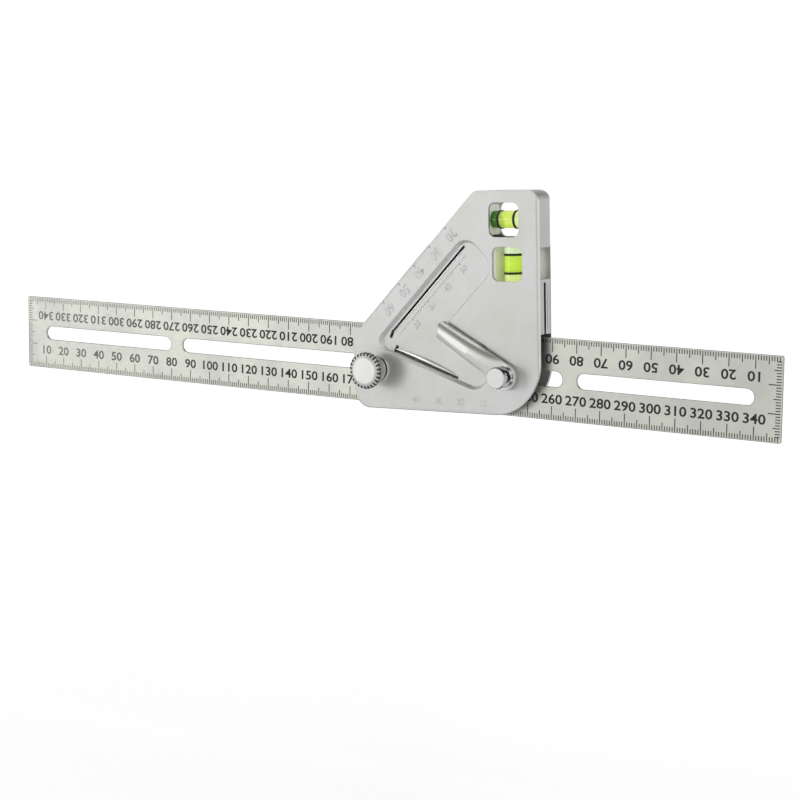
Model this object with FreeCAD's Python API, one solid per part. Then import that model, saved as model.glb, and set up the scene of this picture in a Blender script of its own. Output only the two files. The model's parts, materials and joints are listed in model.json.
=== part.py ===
import FreeCAD, Part
import math
import os

# A sliding bevel with two spirit vials: a folded sheet stock, a slotted scale blade that
# swings about a pivot bolt and slides along its middle slot, a lever nut that clamps it,
# and a thumbscrew that presses on it near the other end of the stock.
#
# Working frame, in millimetres: the blade lies in the plane Y = 0 with the front facing -Y,
# the stock's base edge is Z = 0 and the pivot axis is at X = 0. At the end every piece moves
# by ORIGIN_SHIFT, which puts the origin on the base edge of the front plate, at its middle.

# Stock: one sheet folded along its right edge into a front plate, a wall and a back plate.
STOCK_THICKNESS = 9.2
SHEET = 1.0
STOCK_LEFT = -68.0
STOCK_RIGHT = 14.4
STOCK_HEIGHT = 82.5
SLOPE_RISE = 95.5            # the 45 degree side follows z = x + SLOPE_RISE
FOLD_RADIUS = 1.2
CORNER_BASE_LEFT = 7.0
CORNER_BASE_RIGHT = 20.0
CORNER_SLOPE_FOOT = 5.0
CORNER_SLOPE_HEAD = 5.0
CORNER_TOP_RIGHT = 4.5
EDGE_BREAK = 0.3             # rounding of the sheet's outer edges
FACE = STOCK_THICKNESS / 2
INNER = FACE - SHEET
ORIGIN_SHIFT = (33.0, FACE - SHEET / 2, 0.0)

# Openings of the folded wall: a window beside the lower vial, the blade's slit and, under
# it, an opening as wide as the gap between the plates.
WALL_FOOT = 30.2
WALL_SLIT_WIDTH = 1.6
WALL_SLIT_TOP = 49.0
WALL_SLIT_BEVEL = 0.35
WALL_WINDOW_LOW = 50.2
WALL_WINDOW_HIGH = 61.7

# Pressed V on both plates, sunk towards the blade.
V_DEPTH = 1.8
V_POINT = (-59.9, 23.9)
V_UPPER_ANGLE = 45.0
V_LOWER_ANGLE = -18.5
V_UPPER_LENGTH = 61.0
V_LOWER_LENGTH = 52.5
V_ARM_WIDTH = 18.0
V_POINT_RADIUS = 4.0
V_END_RADIUS = 6.5
V_CROTCH_RADIUS = 1.2
V_SLOPE_RUN = 1.0
V_SKIN_OUTSET = 0.6          # how far the inner skin's outline lies outside the pocket's
V_LEAST_RADIUS = 0.8

# Sight slits in the front V's floor. Each starts in a wider hook and has a raised lip that is
# widest at its middle. Angles are counter-clockwise from +X as seen from the front.
SLIT_WIDTH = 0.9
SLIT_HOOK_RADIUS = 0.65
SLITS = {
    "upper": {
        "angle": V_UPPER_ANGLE,
        "inward": V_UPPER_ANGLE - 90,
        "inset": 2.4,
        "start": 10.2,
        "end": 56.0,
        "hook_angle": V_UPPER_ANGLE + 200,
        "hook_length": 2.2,
        "lip_radii": (0.1, 0.2, 0.25, 0.2, 0.1),
    },
    "lower": {
        "angle": V_LOWER_ANGLE,
        "inward": V_LOWER_ANGLE + 90,
        "inset": 1.5,
        "start": 9.9,
        "end": 39.1,
        "hook_angle": V_LOWER_ANGLE + 75,
        "hook_length": 1.6,
        "lip_radii": (0.15, 0.6, 0.8, 0.6, 0.15),
    },
}

# Pivot and blade.
PIVOT_HEIGHT = 14.5
BLADE_LENGTH = 350.0
BLADE_WIDTH = 30.0
BLADE_THICKNESS = 1.0
BLADE_TILT = -2.1
BLADE_PIVOT_MARK = 243.0     # place along the blade that lies on the pivot at rest
BLADE_CORNER_RADIUS = 0.6
SLOT_WIDTH = 6.0
SLOTS = ((10.0, 80.0), (85.5, 264.5), (270.0, 340.0))

# Pivot bolt and the pieces on it. The bolt's head is at the back.
BOLT_RADIUS = 1.95
BORE_RADIUS = 2.0
BOLT_HEAD_RADIUS = 4.5
BOLT_HEAD_HEIGHT = 1.8
BOLT_HEAD_ROUNDING = 0.9
BOLT_SOCKET_ACROSS_FLATS = 2.5
BOLT_SOCKET_DEPTH = 1.1
WASHER_RADIUS = 4.8
WASHER_THICKNESS = 0.5
PLAY = 0.1                   # gap between flat faces that move past each other
GUIDE_RADIUS = 5.5
GUIDE_THICKNESS = 2.0
KEY_WIDTH = 5.9
KEY_LENGTH = 9.0
KEY_ROUNDING = 0.5
FRICTION_WASHER_RADIUS = 5.2

# Lever: a teardrop paddle, flat at the hub and rounder towards its tip, and a round nut that
# stands out of its hub. Each section is (distance from the pivot, side height, crown height).
LEVER_ANGLE = 149.0
LEVER_LENGTH = 33.6
LEVER_WIDTH_AT_HUB = 8.3
LEVER_WIDTH_AT_TIP = 7.0
LEVER_SHIFT_AT_HUB = 0.7     # the handle sits this much towards its upper edge there, and none at the tip
LEVER_SECTIONS = ((0.0, 1.3, 0.1), (7.0, 1.4, 1.3), (16.0, 1.2, 2.2), (LEVER_LENGTH, 0.6, 2.7))
LEVER_NOSE_SLANT = 2.6       # how much shorter the lower edge is than the upper one
LEVER_NOSE_CORNER = 1.4
LEVER_NOSE_ROUNDING = 0.9
LEVER_HUB_RADIUS = 5.0
LEVER_HUB_HEIGHT = 1.6
LEVER_HUB_ROUNDING = 0.4
LEVER_ARM_LIFT = 0.1
LEVER_NUT_RADIUS = 4.0
LEVER_NUT_HEIGHT = 5.1
LEVER_CAP_RADIUS = 3.8
LEVER_CAP_HEIGHT = 0.5
LEVER_CAP_ROUNDING = 0.3
BOLT_REACH_IN_NUT = 4.4

# Thumbscrew.
KNOB_X = -57.4
KNOB_HEIGHT = 15.0
KNOB_HEAD_RADIUS = 6.9
KNOB_HEAD_HEIGHT = 3.0
KNOB_FACE_BEVEL = (2.0, 0.8)   # across the face and along the axis
KNOB_REAR_BEVEL = 0.4
KNOB_COLLAR_RADIUS = 4.7
KNOB_COLLAR_HEIGHT = 5.0
KNOB_FLUTES = 30
KNOB_FLUTE_RADIUS = 0.45
KNOB_WEB = 1.0               # metal between the knob's face and the screw's end
KNOB_TRAVEL_GAP = 0.5        # collar to bush at rest
BUSH_FLANGE_RADIUS = 5.4
BUSH_FLANGE_HEIGHT = 0.6
BUSH_BODY_RADIUS = 3.6
BUSH_INNER_STAND = 0.8
PAD_RADIUS = 4.2
PAD_THICKNESS = 0.9
PAD_BEVEL = 0.2

# Vials: the level lies along X in the upper window, the plumb stands in the lower one.
VIAL_RADIUS = 3.2
VIAL_BORE_RADIUS = 2.5
VIAL_LENGTH = 19.0
VIAL_PLUG_LENGTH = 2.0
VIAL_RING_WIDTH = 0.6
VIAL_RING_DEPTH = 0.12
VIAL_RING_SPACING = 6.8
LEVEL_CENTRE = (-0.3, 71.8)
PLUMB_CENTRE = (1.0, 55.6)
BUBBLE_LENGTH = 5.6
BUBBLE_RADIUS = 1.3
BUBBLE_SKIN = 0.1            # liquid left between the bubble and the wall or plug above it
WINDOW_WIDTH = 12.7
LEVEL_WINDOW_HEIGHT = 12.6
PLUMB_WINDOW_HEIGHT = 12.6
WINDOW_RADIUS = 2.6
SADDLE_HEIGHT = 11.0
SADDLE_INNER = 6.5
CARRIER_WALL = 0.9           # side wall of the plumb vial's carrier
CARRIER_BACK = 0.2           # strip behind that vial
CARRIER_RIGHT = 8.4

FRONT = FreeCAD.Vector(0, -1, 0)
BACK = FreeCAD.Vector(0, 1, 0)
PIVOT = FreeCAD.Vector(0, 0, PIVOT_HEIGHT)
KNOB = FreeCAD.Vector(KNOB_X, 0, KNOB_HEIGHT)


def at(x, z, y=0.0):
    return FreeCAD.Vector(x, y, z)


def direction(angle):
    """Unit vector in the XZ plane, counter-clockwise from +X as seen from the front."""
    return at(math.cos(math.radians(angle)), math.sin(math.radians(angle)))


def rounded_wire(corners):
    """Closed wire in the plane Y = 0 from (x, z, radius) corners, with tangent arcs."""
    edges = []
    ends = []
    count = len(corners)
    for index in range(count):
        x, z, radius = corners[index]
        here = at(x, z)
        before = at(*corners[index - 1][:2])
        after = at(*corners[(index + 1) % count][:2])
        to_before = (before - here).normalize()
        to_after = (after - here).normalize()
        half_angle = to_before.getAngle(to_after) / 2
        if radius == 0:
            ends.append((here, here))
            continue
        reach = radius / math.tan(half_angle)
        start = here + to_before * reach
        stop = here + to_after * reach
        bisector = (to_before + to_after).normalize()
        centre = here + bisector * (radius / math.sin(half_angle))
        middle = centre - bisector * radius
        edges.append(Part.Arc(start, middle, stop).toShape())
        ends.append((start, stop))
    for index in range(count):
        start = ends[index - 1][1]
        stop = ends[index][0]
        if start.distanceToPoint(stop) > 1e-6:
            edges.append(Part.LineSegment(start, stop).toShape())
    return Part.Wire(Part.__sortEdges__(edges))


def slab(corners, y_from, y_to):
    """Plate with the given outline between two depths."""
    face = Part.Face(rounded_wire(corners))
    face.translate(FreeCAD.Vector(0, y_from, 0))
    return face.extrude(FreeCAD.Vector(0, y_to - y_from, 0))


def disc(radius, y_from, y_to, centre=PIVOT):
    """Cylinder along Y between two depths."""
    base = FreeCAD.Vector(centre.x, y_from, centre.z)
    return Part.makeCylinder(radius, y_to - y_from, base, BACK)


def ring(radius, bore, y_from, y_to, centre=PIVOT):
    return disc(radius, y_from, y_to, centre).cut(disc(bore, y_from, y_to, centre))


def rectangle(centre_x, centre_z, width, height, radius):
    half_width = width / 2
    half_height = height / 2
    return [
        (centre_x - half_width, centre_z - half_height, radius),
        (centre_x + half_width, centre_z - half_height, radius),
        (centre_x + half_width, centre_z + half_height, radius),
        (centre_x - half_width, centre_z + half_height, radius),
    ]


def capsule(start, stop, half_width, y_from, y_to):
    """Slot shape with round ends between two points of the plane Y = 0."""
    along = (stop - start).normalize()
    across = at(-along.z, along.x) * half_width
    first = Part.Arc(start + across, start - along * half_width, start - across).toShape()
    second = Part.Arc(stop - across, stop + along * half_width, stop + across).toShape()
    lower = Part.LineSegment(start - across, stop - across).toShape()
    upper = Part.LineSegment(stop + across, start + across).toShape()
    face = Part.Face(Part.Wire([first, lower, second, upper]))
    face.translate(FreeCAD.Vector(0, y_from, 0))
    return face.extrude(FreeCAD.Vector(0, y_to - y_from, 0))


def crossing(point_a, along_a, point_b, along_b):
    """Where two lines of the plane Y = 0 meet."""
    turn = along_a.x * along_b.z - along_a.z * along_b.x
    gap = point_b - point_a
    return point_a + along_a * ((gap.x * along_b.z - gap.z * along_b.x) / turn)


# ---- stock ----

def stock_outline():
    return [
        (STOCK_LEFT, 0, CORNER_BASE_LEFT),
        (STOCK_RIGHT, 0, CORNER_BASE_RIGHT),
        (STOCK_RIGHT, STOCK_HEIGHT, CORNER_TOP_RIGHT),
        (STOCK_HEIGHT - SLOPE_RISE, STOCK_HEIGHT, CORNER_SLOPE_HEAD),
        (STOCK_LEFT, STOCK_LEFT + SLOPE_RISE, CORNER_SLOPE_FOOT),
    ]


def folded_sheet():
    """U profile open to the left, cut to the side outline."""
    def profile(left, right, half_depth, radius):
        corners = [
            (left, -half_depth, 0),
            (right, -half_depth, radius),
            (right, half_depth, radius),
            (left, half_depth, 0),
        ]
        face = Part.Face(rounded_wire(corners))
        face.rotate(FreeCAD.Vector(0, 0, 0), FreeCAD.Vector(1, 0, 0), -90)
        return face.extrude(FreeCAD.Vector(0, 0, STOCK_HEIGHT))

    outside = profile(STOCK_LEFT, STOCK_RIGHT, FACE, FOLD_RADIUS)
    inside = profile(STOCK_LEFT - SHEET, STOCK_RIGHT - SHEET, INNER, FOLD_RADIUS - SHEET)
    outline = slab(stock_outline(), -FACE, FACE)
    rims = [edge for edge in outline.Edges if abs(edge.BoundBox.YLength) < 1e-6]
    return outside.cut(inside).common(outline.makeFillet(EDGE_BREAK, rims))


def v_corners(inset=0.0):
    """Corners of the pressed V, drawn in by the given distance on every side."""
    upper = direction(V_UPPER_ANGLE)
    lower = direction(V_LOWER_ANGLE)
    upper_in = direction(V_UPPER_ANGLE - 90)
    lower_in = direction(V_LOWER_ANGLE + 90)
    point = at(*V_POINT)
    upper_edge = point + upper_in * inset
    lower_edge = point + lower_in * inset
    tip = crossing(upper_edge, upper, lower_edge, lower)
    upper_tip = upper_edge + upper * (V_UPPER_LENGTH - inset)
    lower_tip = lower_edge + lower * (V_LOWER_LENGTH - inset)
    width = V_ARM_WIDTH - 2 * inset
    upper_inner = upper_tip + upper_in * width
    lower_inner = lower_tip + lower_in * width
    crotch = crossing(upper_inner, upper, lower_inner, lower)
    end_radius = V_END_RADIUS - inset
    return [
        (tip.x, tip.z, max(V_POINT_RADIUS - inset, V_LEAST_RADIUS)),
        (lower_tip.x, lower_tip.z, end_radius),
        (lower_inner.x, lower_inner.z, end_radius),
        (crotch.x, crotch.z, V_CROTCH_RADIUS + inset),
        (upper_inner.x, upper_inner.z, end_radius),
        (upper_tip.x, upper_tip.z, end_radius),
    ]


def v_frustum(start_inset, stop_inset, y_from, y_to):
    """Tapered block on the V outline, for the pocket and for its inner skin."""
    start = rounded_wire(v_corners(start_inset))
    stop = rounded_wire(v_corners(stop_inset))
    start.translate(FreeCAD.Vector(0, y_from, 0))
    stop.translate(FreeCAD.Vector(0, y_to, 0))
    return Part.makeLoft([start, stop], True, True)


def pressed_v(stock, side):
    """Press the V into the plate at y = side * FACE; side is -1 in front and 1 at the back."""
    skin = v_frustum(
        -V_SKIN_OUTSET, V_SLOPE_RUN - V_SKIN_OUTSET, side * INNER, side * (INNER - V_DEPTH)
    )
    pocket = v_frustum(0, V_SLOPE_RUN, side * FACE, side * (FACE - V_DEPTH))
    return stock.fuse(skin).cut(pocket)


def slit_lip(start, stop, inward, radii):
    """Spindle along the inner edge of a slit, half sunk in the V's floor."""
    along = (stop - start).normalize()
    floor = FRONT * (FACE - V_DEPTH)
    gaps = len(radii) - 1
    sections = []
    for index, radius in enumerate(radii):
        centre = start + (stop - start) * (index / gaps) + inward * (SLIT_WIDTH / 2 + radius) + floor
        sections.append(Part.Wire(Part.makeCircle(radius, centre, along)))
    return Part.makeLoft(sections, True)


def sight_slit(stock, angle, inward, inset, start, end, hook_angle, hook_length, lip_radii):
    along = direction(angle)
    origin = at(*V_POINT) + direction(inward) * inset
    first = origin + along * start
    last = origin + along * end
    lip = slit_lip(first, last, direction(inward), lip_radii)
    slit = capsule(first, last, SLIT_WIDTH / 2, -FACE, 0)
    hook = capsule(first, first + direction(hook_angle) * hook_length, SLIT_HOOK_RADIUS, -FACE, 0)
    return stock.fuse(lip).cut(slit).cut(hook)


def wall_openings(stock):
    wall_inside = STOCK_RIGHT - FOLD_RADIUS
    depth = 2 * FOLD_RADIUS

    def cutter(width, z_from, z_to):
        corner = FreeCAD.Vector(wall_inside, -width / 2, z_from)
        return Part.makeBox(depth, width, z_to - z_from, corner)

    stock = stock.cut(cutter(2 * INNER, 0, WALL_FOOT))
    stock = stock.cut(cutter(WALL_SLIT_WIDTH, WALL_FOOT, WALL_SLIT_TOP))
    stock = stock.cut(cutter(2 * INNER, WALL_WINDOW_LOW, WALL_WINDOW_HIGH))
    for side in (-1, 1):
        edge = FreeCAD.Vector(STOCK_RIGHT, side * WALL_SLIT_WIDTH / 2, WALL_FOOT)
        across = FreeCAD.Vector(0, WALL_SLIT_BEVEL, 0)
        outward = FreeCAD.Vector(WALL_SLIT_BEVEL, 0, 0)
        corners = [edge - outward, edge + across, edge + outward, edge - across, edge - outward]
        bevel = Part.Face(Part.makePolygon(corners))
        stock = stock.cut(bevel.extrude(FreeCAD.Vector(0, 0, WALL_SLIT_TOP - WALL_FOOT)))
    return stock


def vial_windows(stock):
    windows = (
        (LEVEL_CENTRE, LEVEL_WINDOW_HEIGHT),
        (PLUMB_CENTRE, PLUMB_WINDOW_HEIGHT),
    )
    for centre, height in windows:
        outline = rectangle(*centre, WINDOW_WIDTH, height, WINDOW_RADIUS)
        stock = stock.cut(slab(outline, -FACE, FACE))
    return stock


def stock_body():
    stock = folded_sheet()
    for side in (-1, 1):
        stock = pressed_v(stock, side)
    for slit in SLITS.values():
        stock = sight_slit(stock, **slit)
    stock = wall_openings(stock)
    stock = vial_windows(stock)
    stock = stock.cut(disc(BORE_RADIUS, -FACE, FACE))
    stock = stock.cut(disc(BUSH_BODY_RADIUS, -FACE, 0, KNOB))
    return stock.removeSplitter()


# ---- blade and the pieces that turn with it ----

def tilt(shape):
    """Turn a shape built square to the stock to the blade's angle."""
    shape.rotate(PIVOT, BACK, -BLADE_TILT)
    return shape


def blade():
    left = -BLADE_PIVOT_MARK
    low = PIVOT_HEIGHT - BLADE_WIDTH / 2
    outline = rectangle(
        left + BLADE_LENGTH / 2, low + BLADE_WIDTH / 2, BLADE_LENGTH, BLADE_WIDTH, BLADE_CORNER_RADIUS
    )
    half = BLADE_THICKNESS / 2
    shape = slab(outline, -half, half)
    for start, stop in SLOTS:
        first = at(left + start + SLOT_WIDTH / 2, PIVOT_HEIGHT)
        last = at(left + stop - SLOT_WIDTH / 2, PIVOT_HEIGHT)
        shape = shape.cut(capsule(first, last, SLOT_WIDTH / 2, -half, half))
    return tilt(shape)


def slot_guide_front():
    """Disc in front of the blade with a key that fills the slot's width."""
    near = -(BLADE_THICKNESS / 2 + PLAY)
    key_end = BLADE_THICKNESS / 2 - PLAY
    shape = disc(GUIDE_RADIUS, near - GUIDE_THICKNESS, near)
    key = slab(rectangle(0, PIVOT_HEIGHT, KEY_LENGTH, KEY_WIDTH, KEY_ROUNDING), near, key_end)
    bore = disc(BORE_RADIUS, near - GUIDE_THICKNESS, key_end)
    return tilt(shape.fuse(key).cut(bore).removeSplitter())


def slot_guide_rear():
    near = BLADE_THICKNESS / 2 + PLAY
    return ring(GUIDE_RADIUS, BORE_RADIUS, near, near + GUIDE_THICKNESS)


def friction_washer(side):
    """Thin plastic washer between a guide disc and the plate on that side."""
    near = BLADE_THICKNESS / 2 + PLAY + GUIDE_THICKNESS
    far = INNER - PLAY
    low = min(side * near, side * far)
    high = max(side * near, side * far)
    return ring(FRICTION_WASHER_RADIUS, BORE_RADIUS, low, high)


# ---- pivot bolt and lever ----

LEVER_BASE = -(FACE + WASHER_THICKNESS + PLAY)
LEVER_HUB_END = LEVER_BASE - LEVER_HUB_HEIGHT
LEVER_NUT_END = LEVER_HUB_END - LEVER_NUT_HEIGHT
BOLT_END = LEVER_HUB_END - BOLT_REACH_IN_NUT


def pivot_bolt():
    head_base = FACE + WASHER_THICKNESS
    head_top = head_base + BOLT_HEAD_HEIGHT
    head = disc(BOLT_HEAD_RADIUS, head_base, head_top)
    rim = [edge for edge in head.Edges if abs(edge.BoundBox.YMin - head_top) < 1e-6 and edge.Closed]
    head = head.makeFillet(BOLT_HEAD_ROUNDING, rim)
    shank = disc(BOLT_RADIUS, BOLT_END, head_base + WASHER_THICKNESS)
    socket_radius = BOLT_SOCKET_ACROSS_FLATS / 2 / math.cos(math.pi / 6)
    corners = [PIVOT + direction(60 * step) * socket_radius for step in range(6)]
    socket = slab([(p.x, p.z, 0) for p in corners], head_top - BOLT_SOCKET_DEPTH, head_top)
    return head.fuse(shank).cut(socket).removeSplitter()


def bolt_washer(side):
    low = min(side * FACE, side * (FACE + WASHER_THICKNESS))
    return ring(WASHER_RADIUS, BORE_RADIUS, low, low + WASHER_THICKNESS)


def lever_section(distance, side_height, crown):
    """Cross-section of the handle, built along X: flat base, upright sides and a domed front."""
    share = distance / LEVER_LENGTH
    half = (LEVER_WIDTH_AT_HUB * (1 - share) + LEVER_WIDTH_AT_TIP * share) / 2
    middle = -LEVER_SHIFT_AT_HUB * (1 - share)

    def corner(height, across):
        return FreeCAD.Vector(distance, -height, middle + across)

    points = [corner(side_height, -half), corner(0, -half), corner(0, half), corner(side_height, half)]
    lines = [Part.LineSegment(*pair).toShape() for pair in zip(points, points[1:])]
    dome = Part.Arc(points[3], corner(side_height + crown, 0), points[0]).toShape()
    return Part.Wire(lines + [dome])


def lever_nose():
    """Everything the handle may fill: square at the hub, slanted and softened at the tip."""
    _, side_height, crown = LEVER_SECTIONS[-1]
    height = side_height + crown
    half = LEVER_WIDTH_AT_TIP / 2
    corners = [
        FreeCAD.Vector(0, 0, -LEVER_WIDTH_AT_TIP),
        FreeCAD.Vector(LEVER_LENGTH, 0, -half),
        FreeCAD.Vector(LEVER_LENGTH - LEVER_NOSE_SLANT, 0, half),
        FreeCAD.Vector(0, 0, LEVER_WIDTH_AT_TIP),
    ]
    outline = Part.Face(Part.makePolygon(corners + corners[:1]))
    nose = outline.extrude(FRONT * height)
    upright = [edge for edge in nose.Edges if abs(edge.Length - height) < 1e-6 and edge.BoundBox.XMin > 0]
    nose = nose.makeFillet(LEVER_NOSE_CORNER, upright)
    end = LEVER_LENGTH - LEVER_NOSE_SLANT - LEVER_NOSE_CORNER
    rim = [edge for edge in nose.Edges if edge.BoundBox.YMax < -height / 2 and edge.BoundBox.XMax > end]
    nose = nose.makeFillet(LEVER_NOSE_ROUNDING, rim)
    reach = LEVER_LENGTH / 2
    reach_corner = FreeCAD.Vector(0, -2 * height, -LEVER_WIDTH_AT_HUB)
    return nose.fuse(Part.makeBox(reach, 2 * height, 2 * LEVER_WIDTH_AT_HUB, reach_corner))


def lever_arm():
    hub = disc(LEVER_HUB_RADIUS, LEVER_HUB_END, LEVER_BASE)
    rim = [edge for edge in hub.Edges if edge.Closed and edge.BoundBox.YMax < LEVER_HUB_END + LEVER_ARM_LIFT]
    hub = hub.makeFillet(LEVER_HUB_ROUNDING, rim)
    handle = Part.makeLoft([lever_section(*section) for section in LEVER_SECTIONS], True)
    handle = handle.common(lever_nose())
    handle.rotate(FreeCAD.Vector(0, 0, 0), FRONT, LEVER_ANGLE)
    handle.translate(PIVOT + FRONT * (LEVER_ARM_LIFT - LEVER_BASE))
    shape = hub.fuse(handle)
    shape = shape.cut(disc(BORE_RADIUS, LEVER_HUB_END, LEVER_BASE))
    shape = shape.cut(disc(LEVER_NUT_RADIUS, LEVER_NUT_END, LEVER_HUB_END))
    return shape.removeSplitter()


def lever_nut():
    nut = disc(LEVER_NUT_RADIUS, LEVER_NUT_END, LEVER_HUB_END)
    return nut.cut(disc(BORE_RADIUS, BOLT_END - PLAY, LEVER_HUB_END))


def lever_cap():
    cap = disc(LEVER_CAP_RADIUS, LEVER_NUT_END - LEVER_CAP_HEIGHT, LEVER_NUT_END)
    front = LEVER_NUT_END - LEVER_CAP_HEIGHT
    rim = [edge for edge in cap.Edges if edge.Closed and abs(edge.BoundBox.YMax - front) < 1e-6]
    return cap.makeFillet(LEVER_CAP_ROUNDING, rim)


# ---- thumbscrew ----

BUSH_FRONT = -(FACE + BUSH_FLANGE_HEIGHT)
BUSH_BACK = -(INNER - BUSH_INNER_STAND)
COLLAR_BACK = BUSH_FRONT - KNOB_TRAVEL_GAP
COLLAR_FRONT = COLLAR_BACK - KNOB_COLLAR_HEIGHT
KNOB_FRONT = COLLAR_FRONT - KNOB_HEAD_HEIGHT
PAD_FRONT = -(BLADE_THICKNESS / 2 + PLAY + PAD_THICKNESS)


def threaded_bush():
    flange = disc(BUSH_FLANGE_RADIUS, BUSH_FRONT, -FACE, KNOB)
    body = disc(BUSH_BODY_RADIUS, -FACE, BUSH_BACK, KNOB)
    return flange.fuse(body).cut(disc(BORE_RADIUS, BUSH_FRONT, BUSH_BACK, KNOB)).removeSplitter()


def thumb_knob():
    """Turned head with a sloping face rim and a straight knurl, and a plain collar behind it."""
    across, along = KNOB_FACE_BEVEL
    face_rim = Part.makeCone(
        KNOB_HEAD_RADIUS, KNOB_HEAD_RADIUS - across, along,
        FreeCAD.Vector(KNOB.x, KNOB_FRONT + along, KNOB.z), FRONT,
    )
    body = disc(KNOB_HEAD_RADIUS, KNOB_FRONT + along, COLLAR_FRONT, KNOB)
    rear_rim = [edge for edge in body.Edges if edge.Closed and edge.BoundBox.YMin > COLLAR_FRONT - along]
    head = body.makeChamfer(KNOB_REAR_BEVEL, rear_rim).fuse(face_rim)
    for step in range(KNOB_FLUTES):
        centre = KNOB + direction(360 * step / KNOB_FLUTES) * KNOB_HEAD_RADIUS
        head = head.cut(disc(KNOB_FLUTE_RADIUS, KNOB_FRONT, COLLAR_FRONT, centre))
    collar = disc(KNOB_COLLAR_RADIUS, COLLAR_FRONT, COLLAR_BACK, KNOB)
    shank_hole = disc(BOLT_RADIUS, KNOB_FRONT + KNOB_WEB, COLLAR_BACK, KNOB)
    return head.fuse(collar).cut(shank_hole).removeSplitter()


def thumbscrew():
    return disc(BOLT_RADIUS, KNOB_FRONT + KNOB_WEB, PAD_FRONT, KNOB)


def pressure_pad():
    pad = disc(PAD_RADIUS, PAD_FRONT, PAD_FRONT + PAD_THICKNESS, KNOB)
    back = PAD_FRONT + PAD_THICKNESS
    rim = [edge for edge in pad.Edges if edge.Closed and abs(edge.BoundBox.YMin - back) < 1e-6]
    return pad.makeChamfer(PAD_BEVEL, rim)


# ---- vials ----

def place_vial(shape, centre, upright):
    """Move a piece built along X about the origin to its vial."""
    if upright:
        shape.rotate(FreeCAD.Vector(0, 0, 0), FRONT, 90)
    shape.translate(at(*centre))
    return shape


def rod(radius, x_from, x_to):
    return Part.makeCylinder(radius, x_to - x_from, FreeCAD.Vector(x_from, 0, 0), FreeCAD.Vector(1, 0, 0))


def vial_tube():
    half = VIAL_LENGTH / 2
    return rod(VIAL_RADIUS, -half, half).cut(rod(VIAL_BORE_RADIUS, -half, half))


def vial_liquid(upright):
    """Liquid column with the space of its bubble left out."""
    half = VIAL_LENGTH / 2 - VIAL_PLUG_LENGTH
    column = rod(VIAL_BORE_RADIUS, -half, half)
    bubble = Part.makeSphere(BUBBLE_RADIUS)
    stretch = FreeCAD.Matrix()
    stretch.scale(BUBBLE_LENGTH / 2 / BUBBLE_RADIUS, 1, 1)
    bubble = bubble.transformGeometry(stretch)
    if upright:
        bubble.translate(FreeCAD.Vector(half - BUBBLE_LENGTH / 2 - BUBBLE_SKIN, 0, 0))
    else:
        bubble.translate(FreeCAD.Vector(0, 0, VIAL_BORE_RADIUS - BUBBLE_RADIUS - BUBBLE_SKIN))
    return column.cut(bubble)


def vial_plug(side):
    half = VIAL_LENGTH / 2
    near = side * (half - VIAL_PLUG_LENGTH)
    far = side * half
    return rod(VIAL_BORE_RADIUS, min(near, far), max(near, far))


def vial_ring(side):
    centre = side * VIAL_RING_SPACING / 2
    low = centre - VIAL_RING_WIDTH / 2
    high = centre + VIAL_RING_WIDTH / 2
    return rod(VIAL_RADIUS + VIAL_RING_DEPTH, low, high).cut(rod(VIAL_RADIUS, low, high))


def vial_saddle(side):
    """Block between the plates that holds one end of a vial."""
    half = VIAL_LENGTH / 2
    low = SADDLE_INNER if side > 0 else -half
    corner = FreeCAD.Vector(low, -INNER, -SADDLE_HEIGHT / 2)
    block = Part.makeBox(half - SADDLE_INNER, 2 * INNER, SADDLE_HEIGHT, corner)
    return block.cut(rod(VIAL_RADIUS, low, low + half - SADDLE_INNER))


def plumb_carrier():
    """Moulded angle beside and behind the standing vial, against the left faces of its saddles."""
    centre_x, centre_z = PLUMB_CENTRE
    saddle_left = centre_x - SADDLE_HEIGHT / 2
    wall_centre = saddle_left - CARRIER_WALL / 2
    wall = slab(rectangle(wall_centre, centre_z, CARRIER_WALL, VIAL_LENGTH, 0), -INNER, INNER)
    back_centre = (saddle_left + CARRIER_RIGHT) / 2
    back_width = CARRIER_RIGHT - saddle_left
    outline = rectangle(back_centre, centre_z, back_width, 2 * SADDLE_INNER, 0)
    back = slab(outline, INNER - CARRIER_BACK, INNER)
    return wall.fuse(back).removeSplitter()


def vial_pieces(name, centre, upright, low_name, high_name):
    pieces = {
        f"{name}_tube": vial_tube(),
        f"{name}_liquid": vial_liquid(upright),
    }
    for side, side_name in ((-1, low_name), (1, high_name)):
        pieces[f"{name}_plug_{side_name}"] = vial_plug(side)
        pieces[f"{name}_ring_{side_name}"] = vial_ring(side)
        pieces[f"{name}_saddle_{side_name}"] = vial_saddle(side)
    return {key: place_vial(shape, centre, upright) for key, shape in pieces.items()}


def all_pieces():
    pieces = {
        "stock_body": stock_body(),
        "blade": blade(),
        "slot_guide_front": slot_guide_front(),
        "slot_guide_rear": slot_guide_rear(),
        "friction_washer_front": friction_washer(-1),
        "friction_washer_rear": friction_washer(1),
        "pivot_bolt": pivot_bolt(),
        "bolt_washer_front": bolt_washer(-1),
        "bolt_washer_rear": bolt_washer(1),
        "lever_arm": lever_arm(),
        "lever_nut": lever_nut(),
        "lever_cap": lever_cap(),
        "threaded_bush": threaded_bush(),
        "thumb_knob": thumb_knob(),
        "thumbscrew": thumbscrew(),
        "pressure_pad": pressure_pad(),
        "plumb_vial_carrier": plumb_carrier(),
    }
    pieces.update(vial_pieces("level_vial", LEVEL_CENTRE, False, "left", "right"))
    pieces.update(vial_pieces("plumb_vial", PLUMB_CENTRE, True, "bottom", "top"))
    return pieces


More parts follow.
